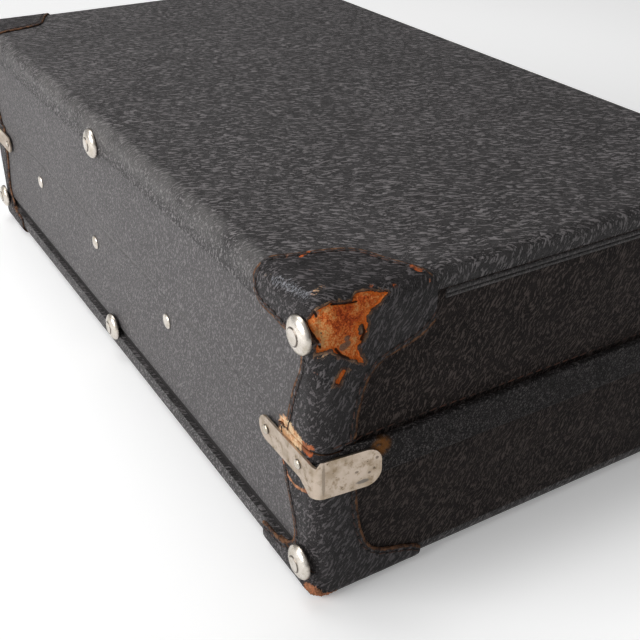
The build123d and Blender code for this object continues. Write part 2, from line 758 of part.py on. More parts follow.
def build_all():
    halves = ((True, "lid"), (False, "base"))
    for is_lid, half in halves:
        nodes[half + "_board_shell"] = build_board(is_lid)
        nodes[half + "_side_leather"] = build_side_leather(is_lid)
        nodes[half + "_lining"] = build_lining(is_lid)
        for is_back, row in ((True, "back"), (False, "front")):
            patch = build_patch(is_lid, is_back)
            nodes[half + "_corner_patch_" + row + "_left"] = patch
            nodes[half + "_corner_patch_" + row + "_right"] = mirror(patch, Plane.YZ)
        feet = [on_back(x, z, seat) * riveted_foot(room_inside + seat) for x, z, seat in feet_of(is_lid)]
        nodes[half + "_feet"] = grouped(feet)
    nodes["lid_top_leather"] = build_panel_leather(True)
    nodes["base_bottom_leather"] = build_panel_leather(False)
    nodes["hinge_leather"] = build_hinge_leather()
    nodes["rim_tongue"] = build_tongue()
    for name, strip in build_strips().items():
        for row in ("back", "front"):
            for end in ("left", "right"):
                strip = strip - nodes["base_corner_patch_" + row + "_" + end]
        nodes[name] = strip
    nodes.update(build_welts())

    bracket = build_bracket()
    nodes["corner_bracket_left"] = bracket
    nodes["corner_bracket_right"] = mirror(bracket, Plane.YZ)
    grip = room_inside + bracket_outer_out
    nodes["bracket_rivets"] = grouped(
        f * bracket_rivet(grip) for side in (-1, 1) for f in bracket_rivet_frames(side)
    )
    level = parting_height - hinge_rivet_drop
    nodes["hinge_rivets"] = grouped(
        on_back(x, level) * rivet(hinge_rivet_head, hinge_rivet_rise, room_inside, shank_radius)
        for x in hinge_rivet_xs()
    )
    nodes["front_rivets_base"] = grouped(
        on_front(x, z, seat) * rivet(small_rivet_head, small_rivet_rise, room_inside + seat, small_shank_radius)
        for x, z, seat in front_rivets(False)
    )
    nodes["front_rivets_lid"] = grouped(
        on_front(x, z, seat) * rivet(small_rivet_head, small_rivet_rise, room_inside + seat, small_shank_radius)
        for x, z, seat in front_rivets(True)
    )

    handle_bracket = build_handle_bracket()
    handle_pin = build_handle_pin()
    nodes["handle_grip"] = build_handle_grip()
    lock_case = build_lock_case()
    lock_bolt = build_lock_bolt()
    lock_button = build_lock_button()
    hasp = build_hasp()
    hasp_plate = build_hasp_plate()
    hasp_pin = build_hasp_pin()
    for side, name in ((-1, "left"), (1, "right")):
        at_handle = Pos(side * handle_span / 2, 0, 0)
        nodes["handle_bracket_" + name] = at_handle * handle_bracket
        nodes["handle_pin_" + name] = at_handle * handle_pin
        at_latch = Pos(side * latch_place, 0, 0)
        for piece, shape in (("lock_case_", lock_case), ("lock_bolt_", lock_bolt), ("lock_button_", lock_button)):
            nodes[piece + name] = at_latch * (shape if side < 0 else mirror(shape, Plane.YZ))
        for piece, shape in (("hasp_", hasp), ("hasp_plate_", hasp_plate), ("hasp_pin_", hasp_pin)):
            nodes[piece + name] = at_latch * shape


build_all()
place = Pos(0, frame_shift, 0)
for name, shape in nodes.items():
    solids = [place * solid for solid in shape.solids()]
    export_step(solids[0] if len(solids) == 1 else Compound(solids), "parts/" + name + ".step")
print("nodes", len(nodes), "frame shift", round(frame_shift, 4))
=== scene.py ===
import math

import bmesh
import bpy
import numpy as np
from mathutils import Matrix, Vector, noise
from mathutils.bvhtree import BVHTree
from mathutils.kdtree import KDTree


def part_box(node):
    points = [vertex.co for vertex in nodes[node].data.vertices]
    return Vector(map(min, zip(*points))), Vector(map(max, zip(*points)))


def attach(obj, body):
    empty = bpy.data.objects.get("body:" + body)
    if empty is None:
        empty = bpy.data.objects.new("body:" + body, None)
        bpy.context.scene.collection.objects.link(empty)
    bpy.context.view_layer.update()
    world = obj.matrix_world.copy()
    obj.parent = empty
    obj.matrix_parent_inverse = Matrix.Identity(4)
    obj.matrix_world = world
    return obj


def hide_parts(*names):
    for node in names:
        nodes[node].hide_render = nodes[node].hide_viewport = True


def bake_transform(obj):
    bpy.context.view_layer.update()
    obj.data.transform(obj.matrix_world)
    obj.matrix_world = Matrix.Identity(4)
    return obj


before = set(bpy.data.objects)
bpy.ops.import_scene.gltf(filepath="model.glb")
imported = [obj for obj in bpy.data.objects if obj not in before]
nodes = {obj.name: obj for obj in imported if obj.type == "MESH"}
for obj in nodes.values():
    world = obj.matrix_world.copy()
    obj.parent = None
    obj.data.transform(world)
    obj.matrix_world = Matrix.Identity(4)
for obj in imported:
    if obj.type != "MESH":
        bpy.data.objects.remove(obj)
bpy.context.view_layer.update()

scene = bpy.context.scene


# Studio. The case lies on a white table. A large soft window stands on the hinge side, a weaker
# one hangs overhead, and the end with the strip faces away from both, so that it is the dark side.
scene.view_settings.view_transform = "Standard"


def placed(name, data):
    """A new object in the scene for a mesh, a lamp or a camera."""
    thing = bpy.data.objects.new(name, data)
    scene.collection.objects.link(thing)
    return thing


def aimed(thing, place, way):
    """Puts a lamp or a camera at a place, looking along a direction."""
    thing.location = place
    thing.rotation_mode = "QUATERNION"
    thing.rotation_quaternion = way.to_track_quat("-Z", "Y")


def soft_window(name, place, target, size, power):
    """A rectangular lamp that faces its target. The size is in metres and the power in watts."""
    data = bpy.data.lights.new(name, "AREA")
    data.shape = "RECTANGLE"
    data.size, data.size_y = size
    data.energy = power
    aimed(placed(name, data), place, Vector(target) - Vector(place))


camera_data = bpy.data.cameras.new("camera")
camera_data.lens = 56.2
camera_data.sensor_width = 36.0
camera_data.clip_start = 0.01
scene.camera = placed("camera", camera_data)
aimed(scene.camera, (-0.6038, 0.3507, 0.3916), Vector((0.7402, -0.4392, -0.5090)))
soft_window("hinge_side_window", (-0.05, 1.7, 0.95), (-0.05, 0.1, 0.1), (1.6, 1.2), 30)
soft_window("overhead_window", (0.62, 0.25, 1.75), (0.10, 0.05, 0.1), (1.2, 1.2), 13.5)


class Wire:
    """An output socket in a shader tree. Arithmetic on it adds the Math nodes."""

    def __init__(self, tree, socket=None):
        self.tree = tree
        self.socket = socket

    def node(self, kind, settings, inputs, output=0):
        made = self.tree.nodes.new("ShaderNode" + kind)
        for name, value in settings.items():
            if name == "stops":
                ramp = made.color_ramp
                ramp.elements.remove(ramp.elements[-1])
                ramp.elements[0].position = value[0][0]
                ramp.elements[0].color = (*value[0][1], 1)
                for place, colour in value[1:]:
                    ramp.elements.new(place).color = (*colour, 1)
            else:
                setattr(made, name, value)
        for name, value in inputs.items():
            if isinstance(value, Wire):
                self.tree.links.new(value.socket, made.inputs[name])
            else:
                made.inputs[name].default_value = value
        return Wire(self.tree, made.outputs[output])

    def math(self, operation, *values):
        return self.node("Math", {"operation": operation}, dict(enumerate(values)))

    def __add__(self, other):
        return self.math("ADD", self, other)

    def __sub__(self, other):
        return self.math("SUBTRACT", self, other)

    def __rsub__(self, other):
        return self.math("SUBTRACT", other, self)

    def __mul__(self, other):
        return self.math("MULTIPLY", self, other)

    def __abs__(self):
        return self.math("ABSOLUTE", self)

    __radd__ = __add__
    __rmul__ = __mul__

    def most(self, other):
        return self.math("MAXIMUM", self, other)

    def step(self, low, high):
        """0 below low and 1 above high, or the other way round where low is the larger."""
        return self.node("MapRange", {"interpolation_type": "SMOOTHSTEP"}, {0: self, 1: low, 2: high})

    def between(self, a, b):
        """Number a where this mask is 0 and number b where it is 1."""
        return a + self * (b - a)

    def mix(self, a, b):
        """Colour a where this mask is 0 and colour b where it is 1."""
        a, b = (c if isinstance(c, Wire) else (*c, 1) for c in (a, b))
        colour_a, colour_b, colour_out = 6, 7, 2
        return self.node("Mix", {"data_type": "RGBA"}, {0: self, colour_a: a, colour_b: b}, colour_out)

    def stretched(self, factors):
        return self.node("VectorMath", {"operation": "MULTIPLY"}, {0: self, 1: factors})

    def moved(self, other):
        return self.node("VectorMath", {"operation": "ADD"}, {0: self, 1: other})

    def part(self, axis):
        return self.node("SeparateXYZ", {}, {0: self}, axis)

    def turned(self, axis, angle):
        return self.node("VectorRotate", {}, {"Vector": self, "Axis": axis, "Angle": angle})

    def facing(self):
        """The object's own normal, whatever this wire carries."""
        return self.node("TexCoord", {}, {}, "Normal")

    def carried(self, name):
        """The number that the mesh carries under this name."""
        return self.node("Attribute", {"attribute_name": name}, {}, "Fac")

    def distance(self, place):
        return self.node("VectorMath", {"operation": "DISTANCE"}, {0: self, 1: place}, "Value")

    def clouds(self, scale, detail=2.0, roughness=0.5):
        """Soft noise around 0.5 at this place."""
        inputs = {"Vector": self, "Scale": scale, "Detail": detail, "Roughness": roughness}
        return self.node("TexNoise", {}, inputs)

    def drift(self, scale, reach):
        """This place shifted by a slow noise of that reach."""
        noise_colour = self.node("TexNoise", {}, {"Vector": self, "Scale": scale, "Detail": 1.0}, "Color")
        centred = noise_colour.moved((-0.5, -0.5, -0.5))
        return self.moved(centred.stretched((reach, reach, reach)))


def new_material(name):
    """A material, its shader node and the Object coordinates."""
    material = bpy.data.materials.new(name)
    material.use_nodes = True
    shader = material.node_tree.nodes["Principled BSDF"]
    point = Wire(material.node_tree).node("TexCoord", {}, {}, "Object")
    return material, shader, point


def feed(shader, name, value):
    """Gives a node's input a wire or a plain value."""
    if isinstance(value, Wire):
        value.tree.links.new(value.socket, shader.inputs[name])
    else:
        shader.inputs[name].default_value = value


def bumped(shader, height, depth):
    """Height from 0 to 1 stands up by depth metres."""
    feed(shader, "Normal", height.node("Bump", {}, {"Height": height, "Distance": depth, "Strength": 1.0}))


def seen_ray(wire):
    """1 for a ray from the camera or from a mirror or glass, so that these show a white studio."""
    camera_ray, glossy_ray, glass_ray = (
        wire.node("LightPath", {}, {}, f"Is {kind} Ray") for kind in ("Camera", "Glossy", "Transmission"))
    return camera_ray.most(glossy_ray).most(glass_ray)


def finished_mesh(name, bm, *materials):
    """The mesh of a bmesh, which is freed."""
    mesh = bpy.data.meshes.new(name)
    bm.to_mesh(mesh)
    bm.free()
    for material in materials:
        mesh.materials.append(material)
    return mesh


# The table's own white where it is seen: everywhere, from about a metre off and towards the horizon.
# Beside the end that faces away from both windows the floor also gets painted light, which pales its shadow.
even_glow, distant_glow, horizon_glow, painted_light_beside_end = 0.245, 0.13, 0.35, 0.17
table_material, shader, point = new_material("white_table")
feed(shader, "Base Color", (0.90, 0.90, 0.90, 1))
feed(shader, "Roughness", 0.7)
feed(shader, "Specular IOR Level", 0.2)
distant = point.distance((0.10, 0.45, 0.0)).step(0.75, 1.30) * distant_glow
horizon = point.distance((0, 0, 0)).step(1.2, 3.0) * horizon_glow
# Painted light: the floor beside the dark end is made paler, lifting the shadow there.
lit_floor_beside_end = point.part(0).step(-0.285, -0.345) * point.part(1).step(0.24, 0.10) * painted_light_beside_end
paleness = seen_ray(point) * (distant + horizon + lit_floor_beside_end + even_glow)
feed(shader, "Emission Color", paleness.mix((0, 0, 0), (1, 1, 1)))
feed(shader, "Emission Strength", 1.0)
bm = bmesh.new()
bmesh.ops.create_grid(bm, x_segments=1, y_segments=1, size=5.0)
table_top = placed("table_top", finished_mesh("table_top", bm, table_material))

# The room as metal mirrors it, from its dark side to the windows' side, over a little even light.
dark_side, window_side, even_light, seen_white = 0.08, 0.55, 0.12, 0.85
world = bpy.data.worlds.new("white_room")
world.use_nodes = True
scene.world = world
room = Wire(world.node_tree)
background = world.node_tree.nodes["Background"]
feed(background, "Color", (1, 1, 1, 1))
from_window = room.node("TexCoord", {}, {}, "Generated").stretched((0.0, 0.6, 0.6))
toward = (from_window.part(1) + from_window.part(2)).step(-0.2, 0.8)
in_metal = seen_ray(room) * toward.between(dark_side, window_side) + even_light
seen_straight = room.node("LightPath", {}, {}, "Is Camera Ray")
feed(background, "Strength", seen_straight.between(in_metal, seen_white))


# Case leather. Black long-grain cowhide glued over the board: fine parallel creases with rounded
# ridges between them. The creases are darkened with painted shade, and the ridges are greyer where hands
# and other luggage have rubbed it, with painted sheen on them as well. The creases run the short way of
# the big panels and upright on the walls, leaning by about 30 degrees everywhere.
# Each way is the axis that the grain is turned about, the angle, and how fine it is on x, y and z.
panel_way = ((0, 0, 1), 0.50, (820, 190, 420))
side_way = ((0, 1, 0), 0.50, (900, 420, 430))
end_way = ((1, 0, 0), -0.55, (420, 820, 230))
hide_tone = (0.1140, 0.1050, 0.1065)
hide_crease_shade = (0.0040, 0.0028, 0.0028)
hide_depth = 0.00100
shaded_wall_tone = (0.0760, 0.0600, 0.0545)


def hide_grain(point, finer):
    """Height of the hide's surface, from 0 in a crease to 1 on a ridge."""
    bent = point.drift(9.0, 0.024).drift(70.0, 0.0065)
    facing = point.facing()
    up_or_down, to_an_end = (abs(facing.part(axis)).step(0.5, 0.85) for axis in (2, 0))
    on_panel, on_side, on_end = (
        bent.turned(axis, angle).stretched(tuple(c * finer for c in fineness)).clouds(1.0, 3.0, 0.65)
        for axis, angle, fineness in (panel_way, side_way, end_way))
    fine = to_an_end.between(up_or_down.between(on_side, on_panel), on_end)
    creases = abs(fine - 0.5).step(0.0, 0.07)
    folds = bent.stretched((150, 60, 85)).clouds(1.0, 2.0, 0.5).step(0.30, 0.66)
    pores = point.clouds(2600.0, 2.0, 0.6)
    return fine.step(0.30, 0.72) * 0.53 + creases * 0.28 + folds * 0.05 + pores * 0.14


def leather(name, tone, crease_shade, finer=1.0, rub_and_sheen=0.6):
    """A hide material, its shader and place, and its grain's height and colour, ready for wear.
    The colour has painted shade in the creases, and rubbed wear with painted sheen on the ridges.
    """
    material, shader, point = new_material(name)
    height = hide_grain(point, finer)
    cloudy = point.clouds(8.0, 3.0, 0.6)
    # Painted shade darkens the creases.
    base = height.step(0.30, 0.76).mix(crease_shade, tone)
    # Paler, greyer ridges: rubbed wear, and painted sheen.
    rubbed = (height * 1.3 + cloudy * 0.7).step(0.95, 1.45) * rub_and_sheen
    colour = rubbed.mix(base, tuple(c * 2.2 for c in tone))
    return material, shader, point, height, colour


def hide_roughness(height, ridge=0.40):
    """The ridges' roughness, and more in the creases."""
    return (1 - height) * 0.25 + ridge


def finish_leather(shader, colour, height, depth, ridge=0.40, specular=0.34):
    feed(shader, "Base Color", colour)
    feed(shader, "Roughness", hide_roughness(height, ridge))
    feed(shader, "Specular IOR Level", specular)
    bumped(shader, height, depth)


def dress(material, *names):
    for name in names:
        mesh = nodes[name].data
        mesh.materials.clear()
        mesh.materials.append(material)


scuff_and_sheen_tone, bloom_tone = (0.205, 0.195, 0.19), (0.085, 0.048, 0.034)
case_hide, shader, point, height, colour = leather("case_leather", hide_tone, hide_crease_shade)
# Scuffs and painted sheen: pale bluish ridges along the hinge-side top rolled edge.
rolled_edge = point.part(1).step(0.1545, 0.1600) * point.part(2).step(0.158, 0.172)
edge_scuff_and_sheen = point.clouds(26.0, 3.0, 0.6).step(0.30, 0.62)
colour = (rolled_edge * (height * 0.8 + 0.2) * edge_scuff_and_sheen * 0.75).mix(colour, scuff_and_sheen_tone)
blooms = point.clouds(60.0, 4.0, 0.65).step(0.66, 0.74) * height.step(0.5, 0.9) * 0.35
colour = blooms.mix(colour, bloom_tone)
finish_leather(shader, colour, height, hide_depth)
dress(case_hide, "lid_top_leather", "base_bottom_leather")

# The walls are the same hide as the panels in a darker, browner copy: painted shade on the walls.
shaded_wall_hide, shader, point, height, colour = leather("shaded_wall_leather", shaded_wall_tone, hide_crease_shade, 1.25, 0.45)
finish_leather(shader, colour, height, hide_depth, 0.50, 0.10)
dress(shaded_wall_hide, "lid_side_leather", "base_side_leather")


# Hinge leather. One unbroken piece of hide on the hinge side, glued to the lid and to the base. Its mesh
# is cut finely where the halves part, and years of bending have left a shallow line there.
def slab(name, low, high, cuts, material):
    """A block between two corners, cut across at the given places on each axis."""
    bm = bmesh.new()
    bmesh.ops.create_cube(bm, size=1.0)
    size = Vector(high) - Vector(low)
    bmesh.ops.scale(bm, vec=size, verts=bm.verts)
    bmesh.ops.translate(bm, vec=Vector(low) + size / 2, verts=bm.verts)
    for axis, places in enumerate(cuts):
        for place in places:
            cut_at, direction = Vector((0, 0, 0)), Vector((0, 0, 0))
            cut_at[axis], direction[axis] = place, 1.0
            bmesh.ops.bisect_plane(bm, geom=bm.verts[:] + bm.edges[:] + bm.faces[:],
                                   plane_co=cut_at, plane_no=direction)
    return placed(name, finished_mesh(name, bm, material))


fold_level, fold_dent = 0.096, 0.00045
bend_reach, blend_reach = 0.005, 0.0045
wide_cut, tall_cut, bend_cut, last_cut = 0.008, 0.006, 0.0005, 0.002
hinge_crease_shade, fold_tone = (0.051, 0.047, 0.048), (0.12, 0.115, 0.11)
cream_at, cream_size = (-0.2570, 0, 0.0945), (0.0120, 0.0070)
cream_dark, cream_light = (0.66, 0.30, 0.14), (0.95, 0.68, 0.42)
hinge_low, hinge_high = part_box("hinge_leather")
# Its creases carry painted shade, paler than on the panels.
hinge_hide, shader, point, height, colour = leather(
    "hinge_side_leather", tuple(c * 0.90 for c in hide_tone), hinge_crease_shade, rub_and_sheen=0.4)
fold_line = abs(point.drift(20.0, 0.002).part(2) - fold_level).step(0.0016, 0.0003)
colour = (fold_line * point.clouds(40.0, 2.0).step(0.35, 0.6) * 0.5).mix(colour, fold_tone)
from_cream = point.moved((-cream_at[0], 0, -cream_at[2])).stretched((1 / cream_size[0], 0, 1 / cream_size[1]))
rub_clouds = point.clouds(260.0, 4.0, 0.65)
cream_rub = (from_cream.distance((0, 0, 0)) + rub_clouds * 0.8).step(1.45, 1.25)
colour = cream_rub.mix(colour, rub_clouds.step(0.38, 0.60).mix(cream_dark, cream_light))
finish_leather(shader, colour, height, hide_depth * 0.45)
across = np.arange(hinge_low.x + wide_cut, hinge_high.x - last_cut, wide_cut)
below = np.arange(hinge_low.z + tall_cut, fold_level - bend_reach, tall_cut)
bend = np.arange(fold_level - bend_reach, fold_level + bend_reach + 0.0001, bend_cut)
above = np.arange(fold_level + bend_reach + 0.002, hinge_high.z - last_cut, tall_cut)
hinge = slab("hinge_hide", hinge_low, hinge_high, (across, (), [*below, *bend, *above]), hinge_hide)
for vertex in hinge.data.vertices:
    if vertex.co.y > hinge_high.y - 0.0001:
        dent = math.exp(-((vertex.co.z - fold_level) / 0.0011) ** 2) * fold_dent
        swell = noise.noise(vertex.co * 22.0) * 0.00012
        vertex.co.y += swell - dent
hinge.data.polygons.foreach_set("use_smooth", [True] * len(hinge.data.polygons))
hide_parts("hinge_leather")
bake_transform(hinge)


# Stitching. Brown waxed thread, four stitches to the inch, run 3.5 mm inside the edge of every corner
# patch and 3 mm above the lid's lower edge. Each stitch is a short round of thread that dips into an
# awl hole at both ends. The holes are flat near-black beads on the surface: painted shade, not cut holes.
stitch_pitch = 0.0063
stitch_inset = 0.0035
stitch_width = 0.0009
stitch_stand = 0.00010
stitch_lean = 0.12
awl_hole_size = (0.00095, 0.00070, 0.00020)
sole_recess = 0.00045
rim_inset, rim_pitch = 0.0008, 0.0008
# The leather's outer faces, which the rows are cast onto: half the length and width, how far the
# case's middle lies towards the hinge side, its top and its underside.
case_half = (0.283, 0.157)
case_shift = 0.0049
case_top = 0.178
base_lift = 0.0016

thread_material, shader, point = new_material("brown_thread")
fuzz = point.clouds(1500.0, 2.0, 0.6)
soiled = (fuzz * 0.5 + point.clouds(45.0, 2.0) * 0.5).step(0.42, 0.62)
feed(shader, "Base Color", soiled.mix((0.014, 0.007, 0.005), (0.090, 0.036, 0.022)))
feed(shader, "Roughness", 0.75)
bumped(shader, fuzz, 0.0001)
# Painted shade: near-black beads standing for the awl holes.
awl_shade_material, shader, point = new_material("awl_hole_shade")
feed(shader, "Base Color", point.clouds(900.0).mix((0.002, 0.0015, 0.0015), (0.006, 0.004, 0.003)))
feed(shader, "Roughness", 0.95)


def spaced(points, pitch):
    """Places at an even pitch along a smooth line through the points, and the line's direction there."""
    points = [np.array(p, float) for p in points]
    ends = [2 * points[0] - points[1], *points, 2 * points[-1] - points[-2]]
    line = []
    for a, b, c, d in zip(ends, ends[1:], ends[2:], ends[3:]):
        for t in np.linspace(0, 1, 24, endpoint=False):
            line.append(b + 0.5 * ((c - a) * t + (2 * a - 5 * b + 4 * c - d) * t * t
                                   + (3 * b - a - 3 * c + d) * t ** 3))
    line = np.array(line)
    reach = np.r_[0, np.cumsum(np.linalg.norm(np.diff(line, axis=0), axis=1))]
    wanted = np.arange(pitch / 2, reach[-1], pitch)
    places = np.column_stack([np.interp(wanted, reach, line[:, k]) for k in range(line.shape[1])])
    ways = np.gradient(places, axis=0)
    return places, ways / np.linalg.norm(ways, axis=1)[:, None]


def surface_of(*names):
    """Everything that a stitch on these CAD nodes can lie on."""
    corners, faces = [], []
    for name in names:
        mesh = nodes[name].data
        start = len(corners)
        corners += [v.co for v in mesh.vertices]
        faces += [[start + v for v in p.vertices] for p in mesh.polygons]
    return BVHTree.FromPolygons(corners, faces)


def landed(surface, starts, way):
    """Where lines in one direction meet a surface that faces them, with the surface's normal."""
    found, reach, least_facing = [], 0.06, 0.70
    for start in starts:
        place, normal, face, distance = surface.ray_cast(Vector(start), Vector(way), reach)
        if place is not None and normal.dot(Vector(way)) < -least_facing:
            found.append((place, normal))
    return found


def bead(sides, rings):
    """Corners and faces of a ball with a radius of 1."""
    bm = bmesh.new()
    bmesh.ops.create_uvsphere(bm, u_segments=sides, v_segments=rings, radius=1.0)
    corners = np.array([v.co for v in bm.verts])
    faces = [[v.index for v in f.verts] for f in bm.faces]
    bm.free()
    return corners, faces


stitch_bead = bead(8, 5)
hole_bead = bead(8, 4)


def sewn(name, body, run_list):
    """One object of all stitches and awl holes on several runs of places on the leather."""
    corners, faces, kinds = [], [], []

    def add(shape, place, kind):
        start = sum(len(c) for c in corners)
        corners.append(shape[0] @ np.array(place.to_3x3()).T + np.array(place.translation))
        faces.extend([[start + v for v in face] for face in shape[1]])
        kinds.extend([kind] * len(shape[1]))

    for run in run_list:
        for (place, normal), (after, turned) in zip(run, run[1:]):
            step = after - place
            if step.length > stitch_pitch * 1.8:
                continue
            up = (normal + turned).normalized()
            side = up.cross(step).normalized()
            lean = Matrix((step.normalized(), side, up)).transposed().to_4x4()
            middle = Matrix.Translation((place + after) / 2 + up * stitch_stand)
            thread = Matrix.Diagonal((stitch_pitch * 0.40, stitch_width / 2, stitch_width * 0.36, 1.0))
            add(stitch_bead, middle @ lean @ Matrix.Rotation(stitch_lean, 4, "Z") @ thread, 0)
            hole = Matrix.Diagonal((*awl_hole_size, 1.0))
            add(hole_bead, Matrix.Translation(place + up * 0.00003) @ lean @ hole, 1)
    mesh = bpy.data.meshes.new(name)
    mesh.from_pydata(np.concatenate(corners).tolist(), [], faces)
    mesh.materials.append(thread_material)
    mesh.materials.append(awl_shade_material)
    mesh.polygons.foreach_set("material_index", kinds)
    mesh.polygons.foreach_set("use_smooth", [True] * len(faces))
    piece = placed(name, mesh)
    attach(piece, body)


# Lid seam: one row along both ends and the front.
seam_level = 0.0994
corner_turn = 0.009
lid_skin = surface_of("lid_side_leather", "lid_corner_patch_back_left", "lid_corner_patch_back_right",
                      "lid_corner_patch_front_left", "lid_corner_patch_front_right")
seam_path = []
for side in (-1, 1):
    quarter = [(side * (case_half[0] - corner_turn * (1 - math.sin(t))),
                -case_half[1] + corner_turn * (1 - math.cos(t))) for t in np.linspace(0, math.pi / 2, 7)]
    leg = [(side * case_half[0], y) for y in np.linspace(-case_half[1] + 0.016, case_half[1] - 0.004, 40)]
    seam_path.append(quarter + leg)
seam_path = seam_path[0][::-1] + seam_path[1]
places, ways = spaced(seam_path, stitch_pitch)
seam_run = []
for place, way in zip(places, ways):
    out = Vector((way[1], -way[0], 0))
    start = Vector((place[0], place[1] + case_shift, seam_level)) + out * 0.02
    seam_run += landed(lid_skin, [start], -out)
sewn("lid_seam_stitches", "lid", [seam_run])


# Corner patches. Pieces of the same hide moulded wet over each corner, glued and stitched, with a
# raw brown edge all round. Knocks have worn them through to the orange fibre on the near corner.
# The outlines are distances from the corner's edges, in millimetres.
end_edge = {
    "lid": [(20.5, 82.7), (22.3, 66), (24.5, 54.5), (27.5, 46.5), (33.5, 39.5), (45, 35.5), (55.5, 32),
            (63.5, 26.5), (67.2, 21.5), (69, 15), (68, 4), (67, -4)],
    "base": [(22, 95.1), (22.6, 60), (24.4, 45), (27.2, 34), (30.5, 27), (36, 21.2), (45, 17.5), (54, 14.8),
             (61.5, 11.5), (66.5, 6.5), (66.5, -4)],
}
side_edge = {
    "lid": [(30.5, 82.7), (26, 71), (22.6, 59.5), (17.5, 47), (12.8, 35), (14.5, 27), (24, 23), (38, 21.8),
            (49, 20.5), (54.5, 15.5), (54.5, 8), (50, -4)],
    "base": [(36, 95.1), (32, 68.5), (27.7, 54.5), (23.8, 44), (21.8, 35), (22.5, 27), (28, 20.5), (38, 17),
             (50, 16.2), (58, 13), (61.5, 6.5), (60.5, -4)],
}
panel_edge = [(55, -4), (50, 8), (45.5, 25), (37.5, 43), (24, 50), (8, 58), (-6, 69)]


def inset_line(points, turn, inset, pitch):
    """Places inside an outline; turn is 1 where the leather lies to the left of it."""
    places, ways = spaced([(a / 1000, b / 1000) for a, b in points], pitch)
    return places + turn * inset * np.column_stack([-ways[:, 1], ways[:, 0]])


def patch_runs(half, row, end, inset, pitch):
    """Rows along the edge of one patch, on the end, on the long side and on the big panel."""
    surface = surface_of(f"{half}_corner_patch_{row}_{end}")
    x_way = 1 if end == "left" else -1
    y_way = -1 if row == "back" else 1
    x_face, y_face = -x_way * case_half[0], case_shift - y_way * case_half[1]
    z_face, z_way = (case_top, -1) if half == "lid" else (base_lift, 1)
    reach = 0.02
    on_end = [(x_face - x_way * reach, y_face + y_way * a, z_face + z_way * d)
              for a, d in inset_line(end_edge[half], -1, inset, pitch)]
    side_points = side_edge[half] if row == "back" else end_edge[half]
    on_side = [(x_face + x_way * a, y_face - y_way * reach, z_face + z_way * d)
               for a, d in inset_line(side_points, -1, inset, pitch)]
    on_panel = [(x_face + x_way * a, y_face + y_way * b, z_face - z_way * reach)
                for a, b in inset_line(panel_edge, 1, inset, pitch)]
    on_panel = landed(surface, on_panel, (0, 0, z_way))
    if half == "base":
        on_panel = [(place - normal * sole_recess, normal) for place, normal in on_panel]
    return [landed(surface, on_end, (x_way, 0, 0)), landed(surface, on_side, (0, y_way, 0)), on_panel]


# Torn places on the near corner of the lid: outlines over the unrolled corner, in millimetres. The
# first number runs along the end, the second down from the top.
corner_at = Vector((-0.2846, 0.1635, 0.1796))
big_tear = [(-6.0, 4.3), (-3.4, 1.9), (0.8, 0.9), (6.1, 0.1), (13.1, 1.8), (17.8, 2.2), (19.1, -2.0),
            (25.6, -1.0), (30.5, 1.0), (36.5, 3.6), (32.2, 8.8), (29.1, 9.9), (26.0, 13.1), (27.2, 16.6),
            (25.2, 23.3), (22.1, 27.6), (25.6, 37.5), (19.0, 33.1), (12.6, 28.8), (8.4, 24.3), (3.0, 23.6),
            (-1.3, 22.8), (0.1, 18.1), (-6.1, 8.3)]
small_tear = [(10.2, 43.6), (12.4, 45.4), (13.9, 42.4), (16.2, 38.2), (14.6, 37.6), (12.8, 39.6),
              (11.0, 41.2)]
left_island = [(23.6, 21.8), (21.6, 18.6), (22.2, 16.4), (24.4, 15.8), (25.4, 18.5), (24.8, 21.4)]


def inside_by(outline, u, v):
    """Distance in millimetres to an outline's edge, positive inside it."""
    outline = np.array(outline, float)
    nearest = np.full(u.shape, 1e9)
    inside = np.zeros(u.shape, bool)
    for (ax, ay), (bx, by) in zip(outline, np.roll(outline, -1, axis=0)):
        t = np.clip(((u - ax) * (bx - ax) + (v - ay) * (by - ay)) / ((bx - ax) ** 2 + (by - ay) ** 2), 0, 1)
        nearest = np.minimum(nearest, np.hypot(u - ax - t * (bx - ax), v - ay - t * (by - ay)))
        crosses = (ay > v) != (by > v)
        inside ^= crosses & (u < ax + (v - ay) * (bx - ax) / (by - ay if by != ay else 1e-9))
    return np.where(inside, nearest, -nearest)


def near_line(places, line, reach):
    """1 on a line through points and 0 past its reach, all in millimetres."""
    nearest = np.full(len(places), 1e9)
    line = np.array(line, float)
    if len(line) == 1:
        line = np.vstack([line, line + 0.01])
    for start, stop in zip(line, line[1:]):
        way = stop - start
        t = np.clip((places - start) @ way / (way @ way), 0, 1)
        nearest = np.minimum(nearest, np.linalg.norm(places - start - t[:, None] * way, axis=1))
    return np.clip(1.25 - nearest / reach, 0, 1)


